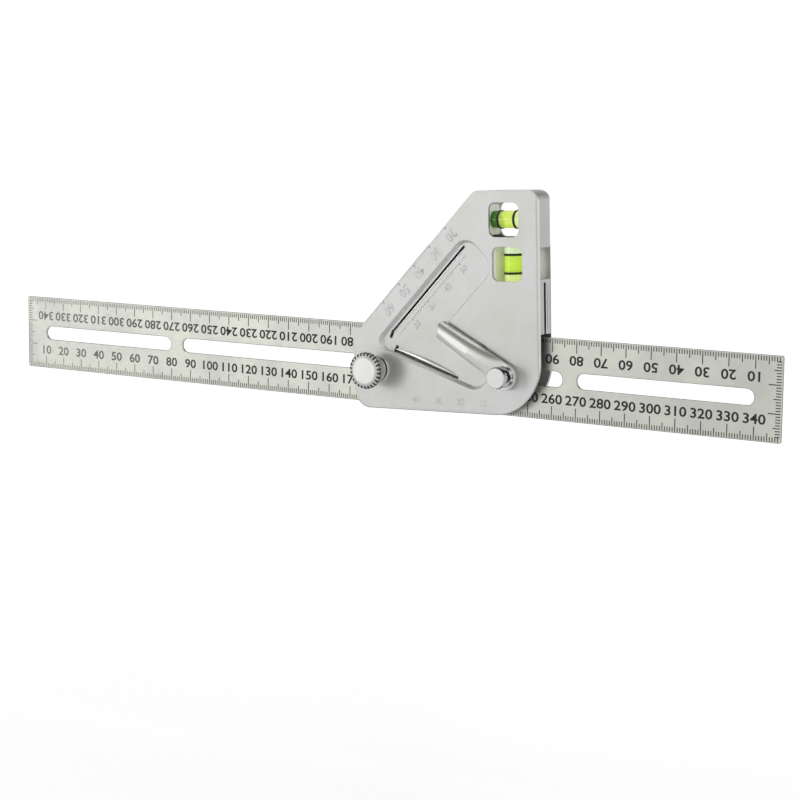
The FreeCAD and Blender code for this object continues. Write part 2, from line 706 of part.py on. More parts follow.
os.makedirs("parts", exist_ok=True)
for node, shape in all_pieces().items():
    shape.translate(FreeCAD.Vector(*ORIGIN_SHIFT))
    shape.exportStep(f"parts/{node}.step")
    box = shape.BoundBox
    print(node, shape.isValid(), len(shape.Solids), f"{shape.Volume:.1f}",
          f"x {box.XMin:.2f} {box.XMax:.2f} y {box.YMin:.2f} {box.YMax:.2f} z {box.ZMin:.2f} {box.ZMax:.2f}")
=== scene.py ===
"""Looks for the sliding bevel: metals, scales, slit lips, knurl, vials, studio light and camera.

Places are in metres in the part's own frame: X along the stock's base edge, front towards -Y,
Z up, with the origin on the base edge of the stock's front plate. Numbers multiplied by MM, and
those measured on a Sheet, are in millimetres.
"""
import json
import math

import bmesh
import bpy
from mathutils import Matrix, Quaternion, Vector


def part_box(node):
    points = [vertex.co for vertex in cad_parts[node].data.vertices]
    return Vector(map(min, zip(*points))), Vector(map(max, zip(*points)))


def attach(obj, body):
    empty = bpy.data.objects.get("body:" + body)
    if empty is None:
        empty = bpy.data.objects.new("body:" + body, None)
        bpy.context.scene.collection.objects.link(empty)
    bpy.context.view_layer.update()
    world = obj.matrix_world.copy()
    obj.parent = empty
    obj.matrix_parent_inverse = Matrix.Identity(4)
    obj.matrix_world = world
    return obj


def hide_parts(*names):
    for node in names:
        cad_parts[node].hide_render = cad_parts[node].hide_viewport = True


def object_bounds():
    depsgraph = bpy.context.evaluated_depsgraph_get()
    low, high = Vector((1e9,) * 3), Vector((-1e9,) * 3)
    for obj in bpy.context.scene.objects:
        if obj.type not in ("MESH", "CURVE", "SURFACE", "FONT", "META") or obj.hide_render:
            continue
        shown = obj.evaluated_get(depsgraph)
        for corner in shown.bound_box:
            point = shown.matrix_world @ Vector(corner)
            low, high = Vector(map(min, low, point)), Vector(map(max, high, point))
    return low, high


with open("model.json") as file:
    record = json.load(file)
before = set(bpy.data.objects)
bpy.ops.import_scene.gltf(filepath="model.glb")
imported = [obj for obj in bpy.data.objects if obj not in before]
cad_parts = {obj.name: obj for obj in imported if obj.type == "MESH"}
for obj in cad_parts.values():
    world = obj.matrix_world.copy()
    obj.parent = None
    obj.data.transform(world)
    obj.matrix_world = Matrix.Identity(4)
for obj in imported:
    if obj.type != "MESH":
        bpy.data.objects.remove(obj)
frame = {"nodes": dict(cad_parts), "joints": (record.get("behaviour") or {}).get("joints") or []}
CAD_LOW, CAD_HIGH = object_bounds()

MM = 0.001
INK_LIFT = 0.012 * MM        # how far printed marks stand off the metal
INK_SINK = 0.01 * MM         # how far their backs lie inside it

# Camera: place in metres, angles in degrees, lens and sensor in millimetres.
CAMERA_PLACE = Vector((0.43236, -0.65998, 0.09687))
CAMERA_AZIMUTH = 34.106
CAMERA_ELEVATION = 6.688
CAMERA_ROLL = -1.123
CAMERA_LENS = 94.95
CAMERA_SENSOR = 36.0

JOINTS = {joint["name"]: joint for joint in frame["joints"]}
PIVOT = Vector(JOINTS["blade_swing"]["pos_m"])
BLADE_ALONG = Vector(JOINTS["blade_slide"]["axis"])
BLADE_UP = Vector((-BLADE_ALONG.z, 0, BLADE_ALONG.x))
BLADE_LOW, BLADE_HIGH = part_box("blade")
STOCK_LOW, STOCK_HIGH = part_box("stock_body")
STOCK_FACE = STOCK_LOW.y

# Blade scale, in millimetres.
BLADE_LENGTH = 350
BLADE_WIDTH = 30
BLADE_PIVOT_MARK = 243       # the reading that lies over the pivot at rest
TICK_WIDTH = 0.36
TICK_LENGTHS = {1: 1.9, 5: 3.1, 10: 5.0}
END_TICK_LENGTHS = {1: 2.1, 5: 3.0, 10: 4.9}
DIGIT_HEIGHT = 3.5
DIGIT_BASE = 6.0
DIGIT_WIDEN = 1.2
STROKE_THICKEN = 0.020       # added round every numeral, at the font's own size
WORN_SPAN = 0.11             # the ink is worn over this length from the blade's left end, in metres
WORN_AT_END = 0.62           # share of the ink worn off at that end

# The stock's front, in degrees, and in millimetres from the point of the base edge under the pivot.
SLOPE_RISE = 95.5            # the sloping side follows z = x + SLOPE_RISE
SLOPE_ANGLE = 45             # the sloping side and the upper sight slit
LOWER_ANGLE = -18.5          # the lower sight slit
V_POINT = Vector((-59.9, 23.9))     # where both slits are measured from
V_FLOOR_DEPTH = 1.8          # from the front face back to the floor of the pressed V

# Faint marks on the stock, in millimetres.
FAINT_TICK_LENGTHS = {1: 0.9, 5: 1.3, 10: 1.9}
FAINT_TICK_WIDTH = 0.16
FAINT_WIDEN = 0.95
RECESS_TICK_LENGTHS = {1: 0.5, 5: 0.7, 10: 1.0}

# Where the back plate's inner face gets painted shade, in millimetres. Each pair is the start and end of
# a fade.
INNER_FACE_DEPTH = 0.74      # the face lies further than this behind the stock's middle
SHADE_ABOVE = (30.5, 33.0)    # heights
SHADE_BELOW = (64.0, 68.0)
SHADE_OFF_SLOPE = (6.0, 9.0)  # across from the sloping side, along X
LIT_RIGHT_OF_PIVOT = (0.0, 2.0)     # right of the pivot and above LIT_ABOVE it stays lit
LIT_ABOVE = (49.5, 50.0)

# Lips in a brighter metal than the sheet, a painted highlight: angles of run and of the side they stand
# on, the slit's distance from the V's line on that side, start and end along it, and the bead's radius at
# its ends and at its middle.
HALF_SLIT = 0.45
SLIT_LIPS = {
    "slit_lip_highlight_upper": {"run": SLOPE_ANGLE, "side": SLOPE_ANGLE - 90, "inset": 2.4,
                       "start": 10.2, "end": 56.0, "thin": 0.12, "thick": 0.28},
    "slit_lip_highlight_lower": {"run": LOWER_ANGLE, "side": LOWER_ANGLE + 90, "inset": 1.5,
                       "start": 9.9, "end": 39.1, "thin": 0.16, "thick": 0.84},
}
LIP_LIFT = 0.03              # how far a bead's skin stands off the recess floor
SWELL_POWER = 0.8            # below 1, a bead or a bubble stays thick further towards its ends

# Painted shade in the knurl: dark dashes, in millimetres. The profile says how far each point lies behind
# the head's front face and how far inside its rim.
KNURL_COUNT = 26
KNURL_HALF_WIDTH = 0.42
KNURL_DEPTH = 0.5            # how far a dash reaches in
KNURL_PROFILE = ((0.35, 1.05), (0.8, -0.02), (1.7, -0.02))

# Vials, in millimetres: the level lies along X, the plumb stands along Z.
LEVEL_AXIS = Vector((1, 0, 0))
PLUMB_AXIS = Vector((0, 0, 1))
LIQUID_REACH = 6.8           # the colour bands span this far to either side of the middle
RING_PROUD = 0.12            # how far a ring's band stands outside its CAD node
RING_THICKNESS = 0.3
RING_HALF_WIDTH = 0.42
BUBBLE_HALF_LENGTH = 2.8
BUBBLE_GIRTH = 0.52          # as a share of the liquid's radius
LEVEL_BUBBLE_RISE = 1.1      # above the tube's axis
PLUMB_BUBBLE_DROP = 3.0      # below the liquid's top
# Colours along the liquid, as shares of that span.
# The level's dark green left end is painted shade and its pale right end a painted highlight.
LIQUID_BANDS = {
    "X": ((0.00, (0.03, 0.14, 0.01, 1)), (0.24, (0.06, 0.26, 0.01, 1)), (0.27, (0.70, 0.82, 0.13, 1)),
          (0.72, (0.74, 0.86, 0.20, 1)), (0.78, (0.78, 0.90, 0.55, 1))),
    "Z": ((0.20, (0.80, 0.88, 0.40, 1)), (0.26, (0.66, 0.84, 0.09, 1)), (0.72, (0.72, 0.90, 0.12, 1)),
          (0.80, (0.86, 0.95, 0.75, 1))),
}

# Stage, in metres. The floor lies well under the tool, so the tool's shadow stays soft.
FLOOR_DROP = 0.14
FLOOR_HALF = 4.0
# Name, place, width and height, and watts.
LAMPS = (
    ("key", (-1.9, -2.3, 0.1), (1.0, 1.0), 9),
    ("top", (0.0, 0.1, 1.1), (1.2, 0.4), 1.5),
)

# The room: brightness at and above eye level, and straight down.
WORLD_LEVEL = 1.0
WORLD_LEVEL_BELOW = 0.92
# Dark cards in it that the camera doesn't see: direction, half width in degrees, brightness left.
DARK_CARDS = (
    ((0.00, -0.62, 0.78), 23, (0.10, 0.10, 0.05, 1)),
    ((0.15, 0.82, 0.56), 20, (0.10, 0.10, 0.08, 1)),
    ((-0.12, 0.82, -0.56), 20, (0.15, 0.15, 0.12, 1)),
)
CARD_EDGE = (1.3, 0.7)       # a card fades in between these shares of its half width


# ---------------------------------------------------------------- materials

def new_material(name):
    material = bpy.data.materials.new(name)
    material.use_nodes = True
    nodes = material.node_tree.nodes
    return material, nodes, material.node_tree.links, nodes["Principled BSDF"]


def set_sockets(shader, **values):
    for name, value in values.items():
        shader.inputs[name.replace("_", " ")].default_value = value


def noise(nodes, links, vector, scale, detail=4.0, roughness=0.55):
    node = nodes.new("ShaderNodeTexNoise")
    node.inputs["Scale"].default_value = scale
    node.inputs["Detail"].default_value = detail
    node.inputs["Roughness"].default_value = roughness
    links.new(vector, node.inputs["Vector"])
    return node.outputs["Fac"]


def object_vector(nodes, links, stretch=(1, 1, 1), turn=0.0):
    """Object coordinates, turned about Y and stretched, for grain that runs one way."""
    coordinates = nodes.new("ShaderNodeTexCoord")
    mapping = nodes.new("ShaderNodeMapping")
    mapping.inputs["Rotation"].default_value = (0, turn, 0)
    mapping.inputs["Scale"].default_value = stretch
    links.new(coordinates.outputs["Object"], mapping.inputs["Vector"])
    return mapping.outputs["Vector"]


def ramp(nodes, links, value, stops):
    node = nodes.new("ShaderNodeValToRGB")
    elements = node.color_ramp.elements
    while len(elements) < len(stops):
        elements.new(0.5)
    for element, (position, colour) in zip(elements, stops):
        element.position = position
        element.color = colour
    links.new(value, node.inputs["Fac"])
    return node.outputs["Color"]


def spread(nodes, links, value, low, high):
    """Stretch a noise's middle range, 0.3 to 0.7, to run from low to high."""
    node = nodes.new("ShaderNodeMapRange")
    node.inputs["From Min"].default_value = 0.3
    node.inputs["From Max"].default_value = 0.7
    node.inputs["To Min"].default_value = low
    node.inputs["To Max"].default_value = high
    links.new(value, node.inputs["Value"])
    return node.outputs["Result"]


def grey(level, tint=(1, 1, 1)):
    return (level * tint[0], level * tint[1], level * tint[2], 1)


def blend(nodes, links, factor, base, colour):
    """Blend a colour into a base colour by a factor that varies over the surface."""
    node = nodes.new("ShaderNodeMix")
    node.data_type = "RGBA"
    node.inputs["B"].default_value = colour
    links.new(factor, node.inputs["Factor"])
    links.new(base, node.inputs["A"])
    return node.outputs["Result"]


def rise(nodes, links, value, low, high, start=0.0, end=1.0):
    """Straight ramp of a number from start to end while the value goes from low to high."""
    node = nodes.new("ShaderNodeMapRange")
    for socket, number in (("From Min", low), ("From Max", high), ("To Min", start), ("To Max", end)):
        node.inputs[socket].default_value = number
    links.new(value, node.inputs["Value"])
    return node.outputs["Result"]


def arithmetic(nodes, links, operation, first, second):
    """Math node on a socket and either another socket or a plain number."""
    node = nodes.new("ShaderNodeMath")
    node.operation = operation
    links.new(first, node.inputs[0])
    if isinstance(second, float):
        node.inputs[1].default_value = second
    else:
        links.new(second, node.inputs[1])
    return node.outputs["Value"]


def components(nodes, links, kind):
    """The X, Y and Z outputs of one kind of texture coordinate."""
    coordinates = nodes.new("ShaderNodeTexCoord")
    split = nodes.new("ShaderNodeSeparateXYZ")
    links.new(coordinates.outputs[kind], split.inputs["Vector"])
    return split.outputs


def satin_metal(name, level, tint, roughness, stretch=(1, 1, 1), grain=2600, depth=0.02, turn=0.0,
                spots=0.06, cloud_scale=55, edge=0.22, other_tint=None, hard=0.12):
    """Satin or brushed metal: fine grain in bump and roughness, cloudy tone, softened edges."""
    material, nodes, links, shader = new_material(name)
    set_sockets(shader, Metallic=1.0)
    fine = noise(nodes, links, object_vector(nodes, links, stretch, turn), grain, 3.0, 0.6)
    cloud = noise(nodes, links, object_vector(nodes, links), cloud_scale, 5.0, 0.6)
    tone = ramp(nodes, links, cloud, [
        (0.5 - hard, grey(level * (1 - spots), other_tint or tint)),
        (0.5 + hard, grey(level * (1 + spots), tint)),
    ])
    links.new(tone, shader.inputs["Base Color"])
    links.new(spread(nodes, links, fine, roughness * 0.82, roughness * 1.18), shader.inputs["Roughness"])
    soft = nodes.new("ShaderNodeBevel")
    soft.inputs["Radius"].default_value = edge * MM
    soft.samples = 4
    bump = nodes.new("ShaderNodeBump")
    bump.inputs["Strength"].default_value = 0.35
    bump.inputs["Distance"].default_value = depth * MM
    links.new(fine, bump.inputs["Height"])
    links.new(soft.outputs["Normal"], bump.inputs["Normal"])
    links.new(bump.outputs["Normal"], shader.inputs["Normal"])
    return material


def stock_metal(name):
    """Satin sheet with a painted highlight on part-turned faces and painted shade inside the back plate.
    """
    material = satin_metal(name, 0.54, (1, 1, 1), 0.46, grain=3200, spots=0.03, cloud_scale=48,
                           other_tint=(1.0, 1.0, 0.95))
    nodes = material.node_tree.nodes
    links = material.node_tree.links
    shader = nodes["Principled BSDF"]
    tone = shader.inputs["Base Color"].links[0].from_socket
    place = components(nodes, links, "Object")
    facing = components(nodes, links, "Normal")

    # Faces turned partway from the front, such as the pressed slopes, bends and rounded edges, get a
    # painted highlight.
    tilt = arithmetic(nodes, links, "ABSOLUTE", facing["Y"], 0.0)
    sloping = ramp(nodes, links, tilt, [
        (0.30, grey(0)),
        (0.36, grey(1)),
        (0.80, grey(1)),
        (0.92, grey(0)),
    ])
    tone = blend(nodes, links, sloping, tone, grey(0.74))

    # The back plate's inner face looks to the front and lies well behind the stock's middle.
    from_middle = arithmetic(nodes, links, "SUBTRACT", place["Y"], (STOCK_LOW.y + STOCK_HIGH.y) / 2)
    behind = arithmetic(nodes, links, "MAXIMUM", from_middle, 0.0)
    inward = arithmetic(nodes, links, "MULTIPLY", behind, facing["Y"])
    inner_face = arithmetic(nodes, links, "LESS_THAN", inward, -INNER_FACE_DEPTH * MM)

    # Painted shade covers it above the blade, under the top and off the sloping side, and is left off
    # beside the window.
    above_blade = rise(nodes, links, place["Z"], SHADE_ABOVE[0] * MM, SHADE_ABOVE[1] * MM)
    below_top = rise(nodes, links, place["Z"], SHADE_BELOW[0] * MM, SHADE_BELOW[1] * MM, 1.0, 0.0)
    from_slope = arithmetic(nodes, links, "SUBTRACT", place["X"], place["Z"])
    slope_edge = PIVOT.x - SLOPE_RISE * MM
    off_slope = rise(nodes, links, from_slope, slope_edge + SHADE_OFF_SLOPE[0] * MM,
                     slope_edge + SHADE_OFF_SLOPE[1] * MM)
    beside_window = rise(nodes, links, place["X"], PIVOT.x + LIT_RIGHT_OF_PIVOT[0] * MM,
                         PIVOT.x + LIT_RIGHT_OF_PIVOT[1] * MM)
    at_window = rise(nodes, links, place["Z"], LIT_ABOVE[0] * MM, LIT_ABOVE[1] * MM)
    lit = arithmetic(nodes, links, "MULTIPLY", beside_window, at_window)
    # dark is the strength of the painted shade, near black where it is full.
    dark = inner_face
    for mask in (above_blade, below_top, off_slope):
        dark = arithmetic(nodes, links, "MULTIPLY", dark, mask)
    dark = arithmetic(nodes, links, "SUBTRACT", dark, lit)
    dark = rise(nodes, links, dark, 0.0, 1.0)
    links.new(blend(nodes, links, dark, tone, grey(0.015)), shader.inputs["Base Color"])
    return material


def plastic(name, colour, roughness, mottle=0.05):
    material, nodes, links, shader = new_material(name)
    set_sockets(shader, IOR=1.49)
    cloud = noise(nodes, links, object_vector(nodes, links), 700, 4.0)
    low = tuple(part * (1 - mottle) for part in colour) + (1,)
    high = tuple(min(1, part * (1 + mottle)) for part in colour) + (1,)
    links.new(ramp(nodes, links, cloud, [(0.3, low), (0.7, high)]), shader.inputs["Base Color"])
    links.new(spread(nodes, links, cloud, roughness * 0.85, roughness * 1.15), shader.inputs["Roughness"])
    return material


def clear_acrylic(name):
    material, nodes, links, shader = new_material(name)
    set_sockets(shader, IOR=1.45, Transmission_Weight=1.0, Base_Color=(0.96, 1.0, 0.93, 1))
    smear = noise(nodes, links, object_vector(nodes, links), 900, 2.0)
    links.new(spread(nodes, links, smear, 0.01, 0.05), shader.inputs["Roughness"])
    return material


def dyed_liquid(name, axis, centre):
    """Dyed spirit that also glows as painted light: bright between the reading rings, dark green or pale
    beyond them.

    The acrylic does the bending, so the liquid itself bends little.
    """
    material, nodes, links, shader = new_material(name)
    # The emission makes the spirit glow: painted light.
    set_sockets(shader, IOR=1.02, Transmission_Weight=0.45, Roughness=0.08, Emission_Strength=0.3)
    place = components(nodes, links, "Object")
    reach = LIQUID_REACH * MM
    along = rise(nodes, links, place[axis], centre - reach, centre + reach)
    tone = ramp(nodes, links, along, LIQUID_BANDS[axis])
    links.new(tone, shader.inputs["Base Color"])
    links.new(tone, shader.inputs["Emission Color"])
    return material


def ink(name, level, patchy, fade=None):
    """Dark ink that wears thin in small patches; the knob's knurl uses it for painted shade.

    A fade is two X places: most of the ink is worn off at the first, and none more from the second on.
    """
    material, nodes, links, shader = new_material(name)
    set_sockets(shader, Metallic=0.0)
    wear = noise(nodes, links, object_vector(nodes, links), 1500, 3.0)
    tone = ramp(nodes, links, wear, [(0.40, grey(level)), (0.80, grey(level + patchy))])
    if fade:
        place = components(nodes, links, "Object")
        worn = rise(nodes, links, place["X"], *fade, WORN_AT_END, 0.0)
        tone = blend(nodes, links, worn, tone, grey(0.42, (1.0, 1.0, 0.92)))
    links.new(tone, shader.inputs["Base Color"])
    links.new(spread(nodes, links, wear, 0.5, 0.8), shader.inputs["Roughness"])
    return material


def node_centre(name):
    low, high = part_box(name)
    return (low + high) / 2


BLADE_TURN = math.atan2(BLADE_ALONG.z, BLADE_ALONG.x)
MATERIALS = {
    "stock": stock_metal("stock_satin"),
    "blade": satin_metal("blade_brushed", 0.53, (1.0, 1.005, 0.90), 0.42, stretch=(0.08, 1, 1),
                         grain=3600, depth=0.012, turn=BLADE_TURN, cloud_scale=60, edge=0.15,
                         other_tint=(1.0, 1.0, 0.95)),
    "chrome": satin_metal("lever_chrome", 0.66, (1, 1, 0.98), 0.36, grain=2200, depth=0.003,
                          spots=0.02, edge=0.3),
    "bright": satin_metal("bright_chrome", 0.80, (1, 1, 1), 0.10, grain=2200, depth=0.003, spots=0.02),
    # The hub's blotches, from near black to near white, are painted reflection contrast.
    "hub": satin_metal("hub_chrome", 0.46, (1, 1, 1), 0.14, grain=2200, depth=0.003, spots=0.98,
                       cloud_scale=430, edge=0.1, hard=0.03),
    "satin": satin_metal("cap_satin", 0.60, (1, 1, 1), 0.42, grain=3600, depth=0.015, spots=0.02),
    "nickel": satin_metal("knob_nickel", 0.58, (1.0, 0.995, 0.975), 0.34, grain=3600, depth=0.01,
                          spots=0.03, edge=0.2),
    "bolt": satin_metal("bolt_zinc", 0.55, (1.0, 1.0, 1.02), 0.34),
    "brass": satin_metal("guide_brass", 0.68, (1.0, 0.80, 0.45), 0.35),
    "nylon": plastic("washer_nylon", (0.82, 0.82, 0.76), 0.5),
    "holder": plastic("holder_plastic", (0.90, 0.89, 0.82), 0.4),
    "plug": plastic("plug_plastic", (0.35, 0.55, 0.15), 0.4),
    "acrylic": clear_acrylic("vial_acrylic"),
    "level_liquid": dyed_liquid("level_liquid", "X", node_centre("level_vial_tube").x),
    "plumb_liquid": dyed_liquid("plumb_liquid", "Z", node_centre("plumb_vial_tube").z),
    "ring": ink("ring_black", 0.004, 0.01),
    "ink": ink("scale_ink", 0.002, 0.02, (BLADE_LOW.x, BLADE_LOW.x + WORN_SPAN)),
    "faint": satin_metal("faint_marks", 0.47, (1, 1, 1), 0.50, grain=2500, depth=0.03, spots=0.16,
                         cloud_scale=420),
    "dots": ink("worn_dots", 0.08, 0.35),
    "knurl_shade": ink("knurl_painted_shade", 0.01, 0.12),
}

NODE_MATERIALS = {
    "stock_body": "stock",
    "blade": "blade",
    "pivot_bolt": "bolt",
    "bolt_washer_front": "bright",
    "bolt_washer_rear": "bolt",
    "slot_guide_front": "brass",
    "slot_guide_rear": "brass",
    "friction_washer_front": "nylon",
    "friction_washer_rear": "nylon",
    "lever_arm": "chrome",
    "lever_nut": "hub",
    "lever_cap": "satin",
    "threaded_bush": "bright",
    "thumb_knob": "nickel",
    "thumbscrew": "bolt",
    "pressure_pad": "nylon",
    "plumb_vial_carrier": "holder",
}
# The vials' nodes go by the third word of their names.
PIECE_MATERIALS = {
    "tube": "acrylic",
    "liquid": "level_liquid",
    "plug": "plug",
    "ring": "ring",
    "saddle": "holder",
}


def dress_cad_nodes():
    for name, piece in frame["nodes"].items():
        key = NODE_MATERIALS.get(name)
        if key is None:
            key = PIECE_MATERIALS[name.split("_")[2]]
        piece.data.materials.clear()
        piece.data.materials.append(MATERIALS[key])


# ---------------------------------------------------------------- mesh helpers

def object_from(bm, name, material, body, smooth_angle=None):
    """Turn a bmesh into a piece that rides on a body."""
    mesh = bpy.data.meshes.new(name)
    bmesh.ops.recalc_face_normals(bm, faces=bm.faces)
    bm.to_mesh(mesh)
    bm.free()
    piece = bpy.data.objects.new(name, mesh)
    bpy.context.scene.collection.objects.link(piece)
    mesh.materials.append(MATERIALS[material])
    if smooth_angle:
        mesh.shade_smooth()
        mesh.set_sharp_from_angle(angle=math.radians(smooth_angle))
    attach(piece, body)
    return piece


class Sheet:
    """A flat marking plane: origin, two directions in millimetres and the way out of the metal."""

    def __init__(self, origin, along, up, out):
        self.origin = origin
        self.along = along
        self.up = up
        self.out = out

    def point(self, u, v, lift=0.0):
        return self.origin + self.along * (u * MM) + self.up * (v * MM) + self.out * lift


def add_box(bm, sheet, corners):
    """A thin closed block on four (u, v) corners."""
    low = [bm.verts.new(sheet.point(u, v, -INK_SINK)) for u, v in corners]
    high = [bm.verts.new(sheet.point(u, v, INK_LIFT)) for u, v in corners]
    bm.faces.new(low[::-1])
    bm.faces.new(high)
    for index in range(4):
        other = (index + 1) % 4
        bm.faces.new((low[index], low[other], high[other], high[index]))


def add_stroke(bm, sheet, start, stop, width):
    """A straight mark between two (u, v) points."""
    first = Vector(start)
    last = Vector(stop)
    run = last - first
    side = Vector((-run.y, run.x)).normalized() * (width / 2)
    add_box(bm, sheet, [first - side, last - side, last + side, first + side])


def text_outline(text):
    """Mesh of a word in Blender's own font at size 1, centred across, base at zero.

    Its thickness only tells front from back; add_text sets the real one.
    """
    curve = bpy.data.curves.new("word", "FONT")
    curve.body = text
    curve.align_x = "CENTER"
    curve.resolution_u = 3
    curve.extrude = 0.5
    curve.offset = STROKE_THICKEN
    holder = bpy.data.objects.new("word", curve)
    bpy.context.scene.collection.objects.link(holder)
    bpy.context.view_layer.update()
    mesh = bpy.data.meshes.new_from_object(holder.evaluated_get(bpy.context.evaluated_depsgraph_get()))
    bpy.data.objects.remove(holder)
    bpy.data.curves.remove(curve)
    return mesh


CAP_HEIGHT = max(vertex.co.y for vertex in text_outline("0").vertices)
WORDS = {}


def add_text(bm, sheet, text, u, v, height, turn=0.0, widen=1.0):
    """Write a number with its base line's middle at (u, v), turned about that point."""
    if text not in WORDS:
        WORDS[text] = text_outline(text)
    scale = height / CAP_HEIGHT
    cosine = math.cos(turn)
    sine = math.sin(turn)
    mesh = WORDS[text]
    verts = []
    for vertex in mesh.vertices:
        x = vertex.co.x * scale * widen
        y = vertex.co.y * scale
        lift = INK_LIFT if vertex.co.z > 0 else -INK_SINK
        place = sheet.point(u + x * cosine - y * sine, v + x * sine + y * cosine, lift)
        verts.append(bm.verts.new(place))
    for polygon in mesh.polygons:
        bm.faces.new([verts[index] for index in polygon.vertices])


# ---------------------------------------------------------------- scales

def blade_sheet(side):
    """Marking plane of the blade's front (-1) or back (1), origin at its lower left corner as seen."""
    corner = PIVOT - BLADE_ALONG * (BLADE_PIVOT_MARK * MM) - BLADE_UP * (BLADE_WIDTH / 2 * MM)
    out = Vector((0, side, 0))
    corner.y = BLADE_LOW.y if side < 0 else BLADE_HIGH.y
    if side < 0:
        return Sheet(corner, BLADE_ALONG, BLADE_UP, out)
    return Sheet(corner + BLADE_ALONG * (BLADE_LENGTH * MM), -BLADE_ALONG, BLADE_UP, out)


def tick_length(millimetre, lengths):
    if millimetre % 10 == 0:
        return lengths[10]
    return lengths[5] if millimetre % 5 == 0 else lengths[1]


def draw_blade_scale(side, name):
    """Ticks and tens along both edges, the second edge's upside down, and ticks across both ends."""
    sheet = blade_sheet(side)
    bm = bmesh.new()
    edge_margin = 0.25
    for millimetre in range(1, BLADE_LENGTH):
        length = tick_length(millimetre, TICK_LENGTHS)
        add_stroke(bm, sheet, (millimetre, edge_margin), (millimetre, length), TICK_WIDTH)
        top = BLADE_WIDTH
        add_stroke(bm, sheet, (millimetre, top - length), (millimetre, top - edge_margin), TICK_WIDTH)
    for millimetre in range(2, BLADE_WIDTH - 1):
        length = tick_length(millimetre, END_TICK_LENGTHS)
        for end, inward in ((0, 1), (BLADE_LENGTH, -1)):
            start = (end + inward * edge_margin, millimetre)
            add_stroke(bm, sheet, start, (end + inward * length, millimetre), TICK_WIDTH)
    for number in range(10, BLADE_LENGTH, 10):
        add_text(bm, sheet, str(number), number, DIGIT_BASE, DIGIT_HEIGHT, 0.0, DIGIT_WIDEN)
        mirrored = BLADE_LENGTH - number
        top = BLADE_WIDTH - DIGIT_BASE
        add_text(bm, sheet, str(number), mirrored, top, DIGIT_HEIGHT, math.pi, DIGIT_WIDEN)
    object_from(bm, name, "ink", "blade")


def stock_sheet(depth):
    """Marking plane facing the front, measured from the point of the base edge under the pivot."""
    return Sheet(Vector((PIVOT.x, depth, 0)), Vector((1, 0, 0)), Vector((0, 0, 1)), Vector((0, -1, 0)))


def unit(angle):
    """Direction on a sheet, in degrees from its first direction towards its second."""
    return Vector((math.cos(math.radians(angle)), math.sin(math.radians(angle))))


def draw_slope_scale():
    """Faint centimetre marks along the sloping side, read from that side."""
    sheet = stock_sheet(STOCK_FACE)
    top = STOCK_HIGH.z / MM
    along = unit(SLOPE_ANGLE + 180)
    inward = unit(SLOPE_ANGLE - 90)
    zero_before_corner = 1.4
    edge_margin = 0.4
    digit_inset = 2.9
    digit_height = 3.6
    zero = Vector((top - SLOPE_RISE, top)) - along * zero_before_corner
    turn = math.radians(SLOPE_ANGLE + 180)
    ticks = bmesh.new()
    for millimetre in range(12, 66):
        length = tick_length(millimetre, FAINT_TICK_LENGTHS)
        foot = zero + along * millimetre
        add_stroke(ticks, sheet, foot + inward * edge_margin, foot + inward * length, FAINT_TICK_WIDTH)
    for number in range(20, 70, 10):
        place = zero + along * number + inward * digit_inset
        add_text(ticks, sheet, str(number), place.x, place.y, digit_height, turn, FAINT_WIDEN)
    object_from(ticks, "slope_scale", "faint", "stock")

    dot_start = 0.5
    dot_end = 1.2
    dot_width = 0.4
    dots = bmesh.new()
    for number in range(20, 70, 10):
        foot = zero + along * number
        add_stroke(dots, sheet, foot + inward * dot_start, foot + inward * dot_end, dot_width)
    object_from(dots, "slope_dots", "dots", "stock")


def draw_recess_scale():
    """Fine ticks and tens on the recess floor beside the upper sight slit."""
    sheet = stock_sheet(STOCK_FACE + V_FLOOR_DEPTH * MM)
    along = unit(SLOPE_ANGLE)
    inward = unit(SLOPE_ANGLE - 90)
    tick_inset = 5.0
    tick_width = 0.3
    digit_inset = 4.2
    digit_height = 2.4
    start = V_POINT + inward * tick_inset
    ticks = bmesh.new()
    for millimetre in range(12, 55):
        foot = start + along * millimetre
        length = tick_length(millimetre, RECESS_TICK_LENGTHS)
        add_stroke(ticks, sheet, foot, foot + inward * length, tick_width)
    object_from(ticks, "recess_ticks", "dots", "stock")
    numerals = bmesh.new()
    turn = math.radians(SLOPE_ANGLE)
    for number in range(20, 56, 10):
        place = start + along * number + inward * digit_inset
        add_text(numerals, sheet, str(number), place.x, place.y, digit_height, turn, FAINT_WIDEN)
    object_from(numerals, "recess_numerals", "faint", "stock")


def draw_slit_lips():
    """Brighter, polished skin over the raised lips beside the sight slits: a painted highlight."""
    sheet = stock_sheet(STOCK_FACE + V_FLOOR_DEPTH * MM)
    for name, lip in SLIT_LIPS.items():
        along = unit(lip["run"])
        inward = unit(lip["side"])
        first = V_POINT + inward * (lip["inset"] + HALF_SLIT) + along * lip["start"]
        run = along * (lip["end"] - lip["start"])
        bm = bmesh.new()
        lip_sweep(bm, sheet, first, run, inward, lip["thin"], lip["thick"])
        object_from(bm, name, "bright", "stock", 50)


def lip_sweep(bm, sheet, first, run, inward, thin, thick):
    """Half-round bead along a slit, widest at its middle and closed at both ends."""
    steps = 24
    arcs = 8
    rows = []
    for step in range(steps + 1):
        share = step / steps
        radius = thin + (thick - thin) * math.sin(math.pi * share) ** SWELL_POWER
        centre = first + run * share + inward * radius
        row = []
        for arc in range(arcs + 1):
            angle = math.pi * arc / arcs
            place = centre - inward * (radius * math.cos(angle))
            lift = (radius * math.sin(angle) + LIP_LIFT) * MM
            row.append(bm.verts.new(sheet.point(place.x, place.y, lift)))
        rows.append(row)
    for row, after in zip(rows, rows[1:]):
        for index in range(arcs):
            bm.faces.new((row[index], row[index + 1], after[index + 1], after[index]))
        bm.faces.new((row[arcs], row[0], after[0], after[arcs]))
    bm.faces.new(rows[0])
    bm.faces.new(rows[-1])


